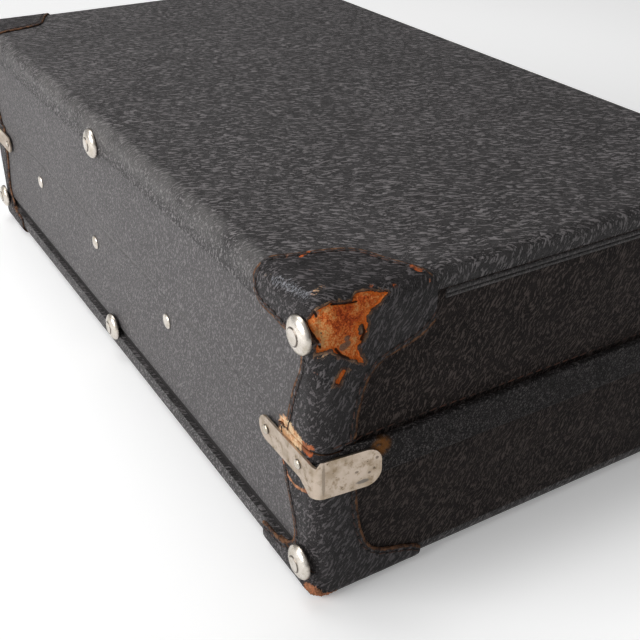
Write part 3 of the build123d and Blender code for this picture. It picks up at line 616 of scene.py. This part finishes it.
# Rubbed places: a line over the leather and its reach in millimetres, how far the finish has gone,
# and how pale the bared leather is, from 0 for orange to 1 for cream.
rubbed_lines = {
    "lid_corner_patch_back_left": [
        ([(-238, 139.8, 179.6), (-241, 146, 179.6)], 2.2, 0.95, 0.0), ([(-237, 151.5, 179.6)], 3.0, 0.9, 0.2),
        ([(-233.5, 163.3, 172)], 2.6, 0.8, 0.3), ([(-236, 163, 173), (-243, 162.4, 174.8)], 2.8, 0.78, 1.0),
        ([(-233.4, 163.5, 166), (-233.6, 163.5, 160)], 1.6, 0.8, 0.8),
        ([(-254.5, 148.4, 179.6)], 2.0, 0.75, 0.1),
        ([(-271, 152, 179.6), (-274, 158, 178.5)], 5.0, 0.72, 0.7), ([(-247, 119.8, 179.6)], 3.5, 0.75, 0.1),
        ([(-279, 104.8, 178.8), (-275, 107, 179.6)], 2.6, 1.0, 0.0), ([(-283.3, 102, 174.8)], 2.5, 0.8, 0.2),
        ([(-279.8, 132, 178.4)], 3.0, 0.85, 0.0), ([(-281.9, 120.5, 176.7)], 3.0, 0.85, 0.0),
        ([(-283.5, 127, 171)], 3.0, 0.8, 0.1), ([(-281, 162, 142)], 4.0, 0.72, 0.1),
        ([(-252, 163.5, 97), (-260, 163.5, 99), (-269, 163.5, 97)], 7.0, 1.08, 1.0),
        ([(-268, 163.5, 97.5), (-279, 162.6, 99.0)], 3.4, 0.95, 0.1), ([(-276, 163.3, 97)], 4.0, 0.9, 0.0),
        ([(-283, 158, 153), (-282, 160.5, 150)], 4.5, 0.78, 0.9)],
    "base_corner_patch_back_left": [
        ([(-251, 163.5, 92), (-261, 163.5, 94), (-269, 163.5, 95)], 5.5, 1.08, 1.0),
        ([(-270, 163.5, 95), (-278, 162.8, 95)], 3.2, 1.0, 0.0),
        ([(-251.4, 163.5, 73.9), (-254.2, 163.5, 71), (-257, 163.5, 67.6)], 1.5, 0.85, 0.2),
        ([(-257, 163.5, 67.6), (-263.6, 163.5, 65.8), (-273.9, 163.5, 69.6)], 2.3, 0.95, 0.35),
        ([(-273.9, 163.5, 70.4), (-279.5, 162.9, 71.5)], 2.6, 1.0, 0.0),
        ([(-278, 162.8, 9), (-281.5, 161.5, 5), (-283, 159, 2), (-284, 152, 1)], 6.6, 1.1, 0.25)],
}
# Pale bluish streaks on the near lid patch: scuffs, with painted glint on their ridges.
scuff_glint_lines = {
    "lid_corner_patch_back_left": [
        ([(-247, 162.4, 174.6), (-255, 161.7, 175.6), (-272, 160.4, 177.1)], 5.5, 1.0),
        ([(-262, 163.5, 168), (-268, 163.4, 166)], 5.0, 0.5)],
}
frayed_line = [(-277, 162.8, 8), (-281.5, 161.5, 4), (-283.5, 155, 1)]
# Inside the tear, in its own two directions: dark and pale places, grey glue, and the slits where a
# flap of the finish still stands up.
tear_tones = [((11.7, 6.9), 5.5, -1.0), ((18.4, 13.0), 5.0, -1.1), ((15.0, 4.0), 3.5, -0.5),
              ((22, 9.2), 3.0, -0.4), ((-4.7, 7.0), 3.5, 1.0), ((0.5, 12.0), 4.5, 1.2),
              ((3.4, 18.9), 3.5, 1.2), ((4.4, 2.2), 2.2, 0.6), ((13.0, 13.2), 2.5, -1.2),
              ((29.6, 5.0), 4.0, 0.5), ((20.5, 22.6), 2.2, 0.5)]
glue_places = [((16.5, 21.5), 1.6), ((14.6, 25.5), 2.3), ((16.6, 24.6), 2.0), ((-1.0, 3.2), 1.8)]
slits = [([(7.0, 0.3), (12.7, 1.9), (16.1, 2.6), (20.5, 3.3)], 0.42),
         ([(-3.0, 0.6), (-2.0, 2.4), (-0.6, 4.6)], 0.5),
         ([(-7.2, 6.8), (-3.6, 12.5), (0.3, 17.7), (1.4, 21.4)], 0.40),
         ([(10.6, 25.4), (13.8, 29.9), (17.3, 32.4)], 0.45),
         ([(24.6, 17.4), (25.6, 20.9), (24.2, 24.6)], 0.5)]
# How far the surface moves in metres: down at the seam, in the tear and in its slits, up at the
# tear's lip, and both ways with the hide's swell, the bare fibre and the frayed corner.
groove_depth, tear_depth, slit_depth, lip_height = 0.00030, 0.00050, 0.00045, 0.00028
hide_swell, fibre_relief, fray_relief = 0.00012, 0.00026, 0.0013


def close_mesh(node, voxel):
    """A CAD solid as a close, slightly softened mesh that can be carved and painted."""
    bm = bmesh.new()
    bm.from_mesh(nodes[node].data)
    bmesh.ops.remove_doubles(bm, verts=bm.verts, dist=1e-6)
    piece = placed("hide_" + node, finished_mesh("solid_" + node, bm))
    remesh = piece.modifiers.new("close_mesh", "REMESH")
    remesh.mode = "VOXEL"
    remesh.voxel_size = voxel
    graph = bpy.context.evaluated_depsgraph_get()
    mesh = bpy.data.meshes.new_from_object(piece.evaluated_get(graph))
    piece.modifiers.clear()
    piece.data = mesh
    bm = bmesh.new()
    bm.from_mesh(mesh)
    for repeat in range(3):
        bmesh.ops.smooth_vert(bm, verts=bm.verts, factor=0.5,
                              use_axis_x=True, use_axis_y=True, use_axis_z=True)
    bm.to_mesh(mesh)
    bm.free()
    return piece


def rows_of(collection, name):
    """One vector of every element in a mesh's collection, as the rows of an array."""
    flat = np.empty(len(collection) * 3, np.float32)
    collection.foreach_get(name, flat)
    return flat.reshape(-1, 3).astype(float)


def near_runs(co, runs):
    """1 at every vertex on one of several runs of places, falling to 0 some 3 mm away."""
    places = [place for run in runs for place, normal in run]
    tree = KDTree(len(places))
    for number, place in enumerate(places):
        tree.insert(place, number)
    tree.balance()
    return np.exp(-(np.array([tree.find(p)[2] for p in co]) / 0.0013) ** 2)


def ripple(co, fineness):
    """Smooth noise from -1 to 1 at every vertex."""
    return np.array([noise.noise(Vector(p) * fineness) for p in co])


def facing_out(co, normals):
    """At every vertex, 1 where the patch faces out of the case, 0 on its cut edge, -1 on its back."""
    inset = 0.012
    low = np.array((-case_half[0] + inset, case_shift - case_half[1] + inset, base_lift + inset))
    high = np.array((case_half[0] - inset, case_shift + case_half[1] - inset, case_top - inset))
    outward = co - np.clip(co, low, high)
    outward /= np.linalg.norm(outward, axis=1)[:, None] + 1e-12
    return (outward * normals).sum(1)


def tear_on(co):
    """Depth inside the tear in millimetres, its tone, its glue and its slits, at every vertex."""
    a, b = (co[:, 0] - corner_at.x) * 1000, (corner_at.y - co[:, 1]) * 1000
    d = (corner_at.z - co[:, 2]) * 1000
    u, v = b - a, d - a
    unrolled = np.column_stack([u, v])

    def spot(place, reach):
        return np.exp(-(np.linalg.norm(unrolled - place, axis=1) / reach) ** 2)

    torn = np.maximum(inside_by(big_tear, u, v), inside_by(small_tear, u, v))
    torn = np.minimum(torn, -inside_by(left_island, u, v)) + ripple(co, 420.0) * 1.1
    tone = sum(amount * spot(place, reach) for place, reach, amount in tear_tones)
    glue = np.max([spot(place, reach) for place, reach in glue_places], axis=0)
    on_corner = (b < 40) & (a < 60) & (d < 50)
    slit = np.max([near_line(unrolled, line, width * 2) for line, width in slits], axis=0)
    return np.clip(torn, -5, 5), tone, glue, on_corner * slit


def wear_on(co, node):
    """How far the finish is rubbed off, how pale the leather is there, and how much scuffing with painted
    glint it has.
    """
    rubbed, pale, scuffed = np.zeros(len(co)), np.zeros(len(co)), np.zeros(len(co))
    for line, reach, amount, paleness in rubbed_lines.get(node, []):
        here = amount * near_line(co * 1000, line, reach)
        pale = np.where(here > rubbed, paleness, pale)
        rubbed = np.maximum(rubbed, here)
    for line, reach, amount in scuff_glint_lines.get(node, []):
        scuffed = np.maximum(scuffed, amount * near_line(co * 1000, line, reach))
    return rubbed, pale, scuffed


def patch_piece(half, row, end, voxel):
    """The patch as worn: a close mesh of the CAD solid with seam groove, tears and rubbed spots."""
    node = f"{half}_corner_patch_{row}_{end}"
    piece = close_mesh(node, voxel)
    mesh = piece.data
    co, normals = rows_of(mesh.vertices, "co"), rows_of(mesh.vertex_normals, "vector")
    runs = patch_runs(half, row, end, stitch_inset, stitch_pitch)
    groove = near_runs(co, runs + ([seam_run] if half == "lid" else []))
    rim_near = near_runs(co, patch_runs(half, row, end, rim_inset, rim_pitch))
    facing = facing_out(co, normals)
    raw_edge = np.clip(1.25 - np.abs(facing) * 1.5, 0, 1)
    outer = np.clip(facing * 2 - 0.2, 0, 1)
    whole = np.zeros(len(co))
    torn, tear_tone, glue, slit = whole - 5, whole, whole, whole
    if node == "lid_corner_patch_back_left":
        torn, tear_tone, glue, slit = tear_on(co)
    rubbed, pale, scuffed = wear_on(co, node)
    frayed = whole
    if node == "base_corner_patch_back_left":
        frayed = near_line(co * 1000, frayed_line, 6.5)

    fibres = ripple(co, 900.0)
    open_area = np.clip(torn / 0.9 + 0.3, 0, 1)
    lip = np.exp(-((torn + 0.7) / 0.55) ** 2)
    move = outer * (ripple(co, 130.0) * hide_swell - groove * groove_depth)
    move += outer * (lip * lip_height - open_area * (tear_depth + fibres * fibre_relief))
    move -= outer * slit * slit_depth
    move += frayed * fibres * fray_relief
    co += normals * move[:, None]
    if half == "base":
        co[:, 2] = np.maximum(co[:, 2], 0.0)
    mesh.vertices.foreach_set("co", co.astype(np.float32).ravel())
    for name, values in (("torn", torn), ("rubbed", np.maximum(rubbed, frayed)), ("raw_edge", raw_edge),
                         ("seam", groove), ("rim_near", rim_near), ("tear_tone", tear_tone), ("glue", glue),
                         ("slit", slit), ("pale", pale), ("scuffed", scuffed)):
        mesh.attributes.new(name, "FLOAT", "POINT").data.foreach_set("value", values.astype(np.float32))
    mesh.polygons.foreach_set("use_smooth", [True] * len(mesh.polygons))
    mesh.materials.clear()
    mesh.materials.append(patch_material)
    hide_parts(node)
    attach(piece, half)
    sewn(f"stitches_{half}_{row}_{end}", half, runs)


# The patches' own leather, then what lies over it: painted shade in the seam groove, scuffs with a
# painted glint on the ridges, raw edge, rubbed places, worn rim of the tear, the bare suede inside it
# with glue, and the shadows of slits and lip.
patch_tone, patch_crease_shade = (0.0800, 0.0720, 0.0745), (0.0030, 0.0022, 0.0022)
seam_groove_shade = (0.0035, 0.0025, 0.0025)
glint_tone, glue_tone, glow_tone = (0.28, 0.285, 0.31), (0.23, 0.155, 0.115), (0.95, 0.190, 0.020)
slit_black, lip_black = (0.012, 0.004, 0.002), (0.008, 0.004, 0.003)
# Its creases carry painted shade.
patch_material, shader, point, height, colour = leather("patch_leather", patch_tone, patch_crease_shade, 0.95, 0.45)
fibre = point.clouds(1100.0, 4.0, 0.7)
clumps = point.clouds(260.0, 4.0, 0.65)
# Painted shade in the seam groove.
colour = (point.carried("seam").step(0.15, 0.9) * 0.85).mix(colour, seam_groove_shade)
# Painted glint: pale bluish streaks on the ridges, strongest on the scuffed places.
streaks = point.turned((1, 0, 0), 0.8).stretched((1400, 640, 330)).clouds(1.0, 2.0, 0.6)
ridge_glint = (point.carried("scuffed") * 0.50 + streaks * 0.9 + height * 0.2).step(0.96, 1.17) * 0.85
colour = ridge_glint.mix(colour, glint_tone)

edge_tone = clumps.step(0.35, 0.65).mix((0.028, 0.012, 0.008), (0.26, 0.130, 0.070))
edge_mask = (point.carried("rim_near") * 0.55 + clumps * 0.75 + fibre * 0.2).step(0.74, 0.96)
raw_edge = (point.carried("raw_edge") + fibre * 0.3).step(0.38, 0.70).most(edge_mask)
colour = raw_edge.mix(colour, edge_tone)

rubbed = point.carried("rubbed") * 0.85 + fibre * 0.75 + clumps * 0.35 + height * 0.25
rubbed = rubbed.step(1.30, 1.46)
orange_tone = clumps.step(0.40, 0.62).mix((0.30, 0.110, 0.050), (0.62, 0.130, 0.030))
cream_tone = clumps.step(0.38, 0.62).mix((0.68, 0.350, 0.170), (0.95, 0.700, 0.440))
colour = (rubbed * 0.92).mix(colour, point.carried("pale").mix(orange_tone, cream_tone))

torn = point.carried("torn") + (clumps - 0.5) * 2.4 + (fibre - 0.5) * 1.2
bare = torn.step(-0.15, 0.15)
worn_rim = (torn.step(-4.8, -0.4) + fibre * 0.9 + (height - 0.5) * 0.3).step(1.12, 1.40) * 0.75
colour = worn_rim.mix(colour, clumps.step(0.4, 0.6).mix((0.13, 0.050, 0.026), (0.34, 0.190, 0.100)))
tear_shade = (clumps - 0.5) * 1.5 + (fibre - 0.5) * 1.9 + point.carried("tear_tone") * 0.20 + 0.62
suede = point.node("ValToRGB", {"stops": [(0.10, (0.30, 0.040, 0.011)), (0.36, (0.72, 0.110, 0.024)),
                                          (0.60, (0.95, 0.225, 0.038)), (0.92, (0.98, 0.500, 0.190))]},
                   {"Fac": tear_shade})
suede = (torn.step(2.4, 0.4) * 0.8).mix(suede, glow_tone)
suede = ((point.carried("glue") + fibre * 0.5).step(0.55, 0.85) * 0.85).mix(suede, glue_tone)
colour = bare.mix(colour, suede)
dark_line = (point.carried("slit") + (fibre - 0.5) * 0.8).step(0.35, 0.7)
colour = (dark_line * 0.94).mix(colour, slit_black)
lip_shadow = torn.step(-1.1, -0.2) * (1 - bare)
colour = (lip_shadow * 0.6).mix(colour, lip_black)

rough_place = bare.most(rubbed * 0.7).most(raw_edge)
feed(shader, "Base Color", colour)
feed(shader, "Roughness", rough_place.between(hide_roughness(height), 0.92))
feed(shader, "Specular IOR Level", 0.20)
bumped(shader, bare.between(height, fibre * 1.6), hide_depth)

near_voxel, far_voxel = 0.00055, 0.0009
for half in ("lid", "base"):
    for row in ("back", "front"):
        for end in ("left", "right"):
            patch_piece(half, row, end, near_voxel if (row, end) == ("back", "left") else far_voxel)


# Strip round the parting line. A firm leather strip with a fine pebbled grain, glued to the
# base, its rounded upper edge standing clear of the lid to keep rain out. The gaps between its pebbles
# carry painted shade.
strip_tone, strip_crease_shade, strip_stain = (0.085, 0.077, 0.0765), (0.006, 0.0052, 0.0052), (0.22, 0.085, 0.016)
strip_depth, welt_depth = 0.00025, 0.0002
strip_hide, shader, point, height, colour = leather("strip_leather", strip_tone, strip_crease_shade, 1.5, 0.3)
cells = point.node("TexVoronoi", {"feature": "DISTANCE_TO_EDGE"},
                   {"Vector": point.drift(200.0, 0.002), "Scale": 620.0})
pebbles = cells.step(0.0, 0.22) * 0.6 + height * 0.4
# Painted shade in the gaps between the pebbles.
colour = pebbles.step(0.2, 0.9).mix(strip_crease_shade, colour)
stain = point.distance((-0.288, 0.1285, 0.0925)).step(0.0070, 0.003) * point.clouds(300.0, 3.0).step(0.3, 0.5)
colour = (stain * 0.9).mix(colour, strip_stain)
finish_leather(shader, colour, pebbles, strip_depth, 0.48, 0.10)
dress(strip_hide, "rim_strip_left", "rim_strip_right", "rim_strip_front")

# The welts, the tongue and the grip have no pebbles. The tongue and the grip are darker. Their creases carry
# painted shade.
for name, tone, crease_shade, finer, rub_and_sheen, ridge, dressed in (
        ("welt_leather", (0.085, 0.078, 0.078), (0.020, 0.018, 0.018), 1.6, 0.4, 0.36,
         ("lid_welt_left", "lid_welt_right", "lid_welt_front")),
        ("tongue_leather", (0.050, 0.042, 0.039), (0.009, 0.007, 0.007), 1.5, 0.3, 0.30,
         ("rim_tongue", "handle_grip"))):
    smooth_hide, shader, point, height, colour = leather(name, tone, crease_shade, finer, rub_and_sheen)
    finish_leather(shader, colour, height, welt_depth, ridge)
    dress(smooth_hide, *dressed)


# Nickel hardware: feet, rivets, brackets, latches and handle plates. Plated brass and steel, dulled
# by handling, with small dark pits and warm stains. The turned heads carry painted shade at their rims
# and round their discs.
pit_tone, rim_shade_tone = (0.10, 0.085, 0.07), (0.085, 0.065, 0.05)


def nickel(name, tone, rough, pits, stains, marks=(), fold=0.0):
    """Old nickel. Each mark is a place, its size and its tone. A fold gets a painted highlight along its
    bend, and turned heads get painted shade at their rims and in their disc grooves.
    """
    material, shader, point = new_material(name)
    film = point.clouds(120.0, 4.0, 0.6)
    mottle = point.clouds(230.0, 5.0, 0.68)
    spots = (point.clouds(1100.0, 2.0, 0.5) * 0.6 + mottle * 0.4).step(0.60, 0.68) * pits
    colour = film.step(0.40, 0.70).mix(tone, (tone[0] * 0.68, tone[1] * 0.65, tone[2] * 0.58))
    colour = (mottle.step(0.50, 0.66) * stains).mix(colour, (tone[0] * 0.50, tone[1] * 0.44, tone[2] * 0.33))
    colour = spots.mix(colour, pit_tone)
    for place, size, mark_tone in marks:
        off = point.moved(tuple(-c for c in place)).stretched(tuple(1 / c for c in size)).distance((0, 0, 0))
        colour = ((off + mottle * 1.2).step(1.7, 1.2) * 0.8).mix(colour, mark_tone)
    if fold:
        facing = point.facing()
        # Painted highlight along the bend of the fold.
        fold_highlight = abs(facing.part(0) * facing.part(1)).step(0.36, 0.49) * fold
        colour = fold_highlight.mix(colour, tuple(min(1.0, c * 1.35) for c in tone))
    # Painted shade at the rims and disc grooves of turned heads.
    colour = ((point.carried("grime") + mottle * 0.4).step(0.55, 0.95) * 0.85).mix(colour, rim_shade_tone)
    feed(shader, "Base Color", colour)
    feed(shader, "Metallic", 1.0)
    feed(shader, "Roughness", mottle * 0.25 + (spots * 0.4 + (rough - 0.05)))
    bumped(shader, film * 0.5 + mottle * 0.5, 0.00005)
    return material


def head_profile(radius, rise, disc=0.0, disc_rise=0.0):
    """Radius and height along a domed head from its rim to a flat disc in the middle, in metres."""
    rim, centre_lift = rise * 0.16, 0.00003 if disc else 0.0
    line = [(radius - 0.0004, 0.0), (radius, rim * 0.5), (radius - 0.0001, rim)]
    for t in np.linspace(0.06, 1, 12):
        r = radius + (disc + 0.0005 - radius) * t
        line.append((r, rim + (rise - rim) * math.sqrt(max(0.0, 1 - (r / radius) ** 2 * 0.985))))
    if disc:
        edge = line[-1][1]
        line += [(disc + 0.0002, edge - 0.00025), (disc, edge - 0.00020),
                 (disc - 0.0001, edge + disc_rise * 0.7), (disc - 0.0004, edge + disc_rise),
                 (disc * 0.5, edge + disc_rise * 1.15)]
    line.append((0.0, line[-1][1] + centre_lift))
    return line


def stem_profile(radius, collar, face):
    """Radius and depth along a stem from a head's face through the wall to its collar inside."""
    grip = face - inner_face
    return [(radius, 0.0), (radius, grip), (collar, grip), (collar, grip + 0.0008), (0.0, grip + 0.0008)]


def turned_heads(name, node, body, seats, profile, stem, disc=0.0):
    """Heads turned from one profile, each with its stem through the wall, standing out of the side."""
    bm = bmesh.new()
    for seat in seats:
        corners = [Vector((r, h, 0)) for r, h in reversed(profile)]
        corners += [Vector((r, -h, 0)) for r, h in stem]
        made = [bm.verts.new(Vector(seat) + c) for c in corners]
        edges = [bm.edges.new(pair) for pair in zip(made, made[1:])]
        bmesh.ops.spin(bm, geom=made + edges, cent=seat, axis=(0, 1, 0), angle=2 * math.pi, steps=56,
                       use_merge=True, use_normal_flip=False, use_duplicate=False)
    bmesh.ops.remove_doubles(bm, verts=bm.verts, dist=1e-7)
    bmesh.ops.recalc_face_normals(bm, faces=bm.faces)
    for face in bm.faces:
        face.smooth = True
    mesh = finished_mesh(name, bm, foot_nickel)
    radius = max(r for r, h in profile)
    # Painted shade: dark where each head's rim meets the leather, and in the groove round a foot's disc.
    grime = []
    for vertex in mesh.vertices:
        out = min(math.hypot(vertex.co.x - x, vertex.co.z - z) for x, y, z in seats)
        ring = math.exp(-((out - disc) / 0.0005) ** 2) if disc else 0.0
        grime.append(max(ring, min(1.0, max(0.0, (out - radius + 0.0006) / 0.0008))))
    mesh.attributes.new("grime", "FLOAT", "POINT").data.foreach_set("value", grime)
    piece = placed(name, mesh)
    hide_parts(node)
    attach(piece, body)


foot_nickel = nickel("foot_nickel", (0.72, 0.67, 0.61), 0.20, 0.25, 0.30)
dark_spots = [((-0.2885, 0.1387, 0.0756), (0.1, 0.0042, 0.0013), (0.13, 0.12, 0.11)),
              ((-0.2885, 0.1315, 0.0879), (0.1, 0.0010, 0.0010), (0.12, 0.09, 0.07)),
              ((-0.2885, 0.1354, 0.0800), (0.1, 0.0009, 0.0009), (0.12, 0.09, 0.07)),
              ((-0.2885, 0.1424, 0.0823), (0.1, 0.0012, 0.0008), (0.16, 0.12, 0.09)),
              ((-0.2885, 0.1330, 0.0819), (0.1, 0.0010, 0.0010), (0.16, 0.12, 0.09)),
              ((-0.2885, 0.1600, 0.0830), (0.1, 0.0010, 0.0120), (0.26, 0.21, 0.16))]
bracket_nickel = nickel("bracket_nickel", (0.535, 0.445, 0.365), 0.34, 0.75, 0.80, dark_spots, 0.3)

# How far out the heads sit on the hinge side: the middle feet on the turned-down bands, the corner
# feet on the patches, the bracket rivets on the bracket, and the hinge rivets on the hinge leather,
# which lies deeper than the bands. The stems end in a collar inside the lining.
band_face, patched_face, bracket_face, inner_face = 0.1637, 0.1653, 0.1648, 0.1556
rivet_face = band_face - 0.0018
foot_disc = 0.0045
foot_profile = head_profile(0.0098, 0.0052, foot_disc, 0.0004)
hinge_rivet_xs, hinge_rivet_level = (-0.1016, 0.0259, 0.1534), 0.0784
bracket_rivet_xs, bracket_rivet_level = (0.2367, 0.2695), 0.08415
for name, body, level, corner in (("lid_feet", "lid", 0.1610, 0.2750), ("base_feet", "base", 0.0231, 0.2725)):
    for where, xs, face in (("corner", (-corner, corner), patched_face), ("middle", (0.0,), band_face)):
        turned_heads(f"turned_{name}_{where}", name, body, [(x, face, level) for x in xs], foot_profile,
                     stem_profile(0.0020, 0.0032, face), foot_disc)
turned_heads("turned_hinge_rivets", "hinge_rivets", "base",
             [(x, rivet_face, hinge_rivet_level) for x in hinge_rivet_xs],
             head_profile(0.0050, 0.0018), stem_profile(0.0020, 0.0032, rivet_face))
turned_heads("turned_bracket_rivets", "bracket_rivets", "base",
             [(side * x, bracket_face, bracket_rivet_level) for side in (-1, 1) for x in bracket_rivet_xs],
             head_profile(0.0027, 0.0015), stem_profile(0.0012, 0.0020, bracket_face))
dress(bracket_nickel, "corner_bracket_left", "corner_bracket_right")
latch_nickel = nickel("latch_nickel", (0.72, 0.69, 0.64), 0.22, 0.4, 0.35)
dress(latch_nickel, *[n for n in nodes if "hasp" in n or "lock" in n or "handle_pin" in n
                      or "handle_bracket" in n or "front_rivets" in n])


# Board and lining. Pressed fibre board lined with a plain woven cotton. The board is painted black
# past the leather's edges, as painted shade in the gaps where the board shows.
board_edge, board_edge_shade = (0.278, 0.152), (0.008, 0.006, 0.006)


def cloth(name, tone, threads, shades_board_edges):
    material, shader, point = new_material(name)
    phases = [point.part(axis) * threads for axis in (0, 1, 2)]
    rows = [phase.math("SINE", phase) for phase in phases]
    weave = (rows[0] + rows[1] + rows[2]) * 0.17 + 0.5
    dirt = point.clouds(14.0, 4.0, 0.6).step(0.35, 0.75) * 0.4
    colour = weave.mix(tuple(c * 0.7 for c in tone), tone)
    colour = dirt.mix(colour, tuple(c * 0.5 for c in tone))
    # Painted shade: black on the board past the leather's edges.
    if shades_board_edges:
        past_end, past_side = (
            abs(place).step(edge - 0.0005, edge + 0.0005)
            for place, edge in zip((point.part(0), point.part(1) - case_shift), board_edge))
        colour = past_end.most(past_side).mix(colour, board_edge_shade)
    feed(shader, "Base Color", colour)
    feed(shader, "Roughness", 0.9)
    bumped(shader, weave, 0.00015)
    return material


dress(cloth("lining_cotton", (0.44, 0.37, 0.285), 5200.0, False), "base_lining", "lid_lining")
dress(cloth("fibre_board", (0.15, 0.105, 0.07), 900.0, True), "base_board_shell", "lid_board_shell")
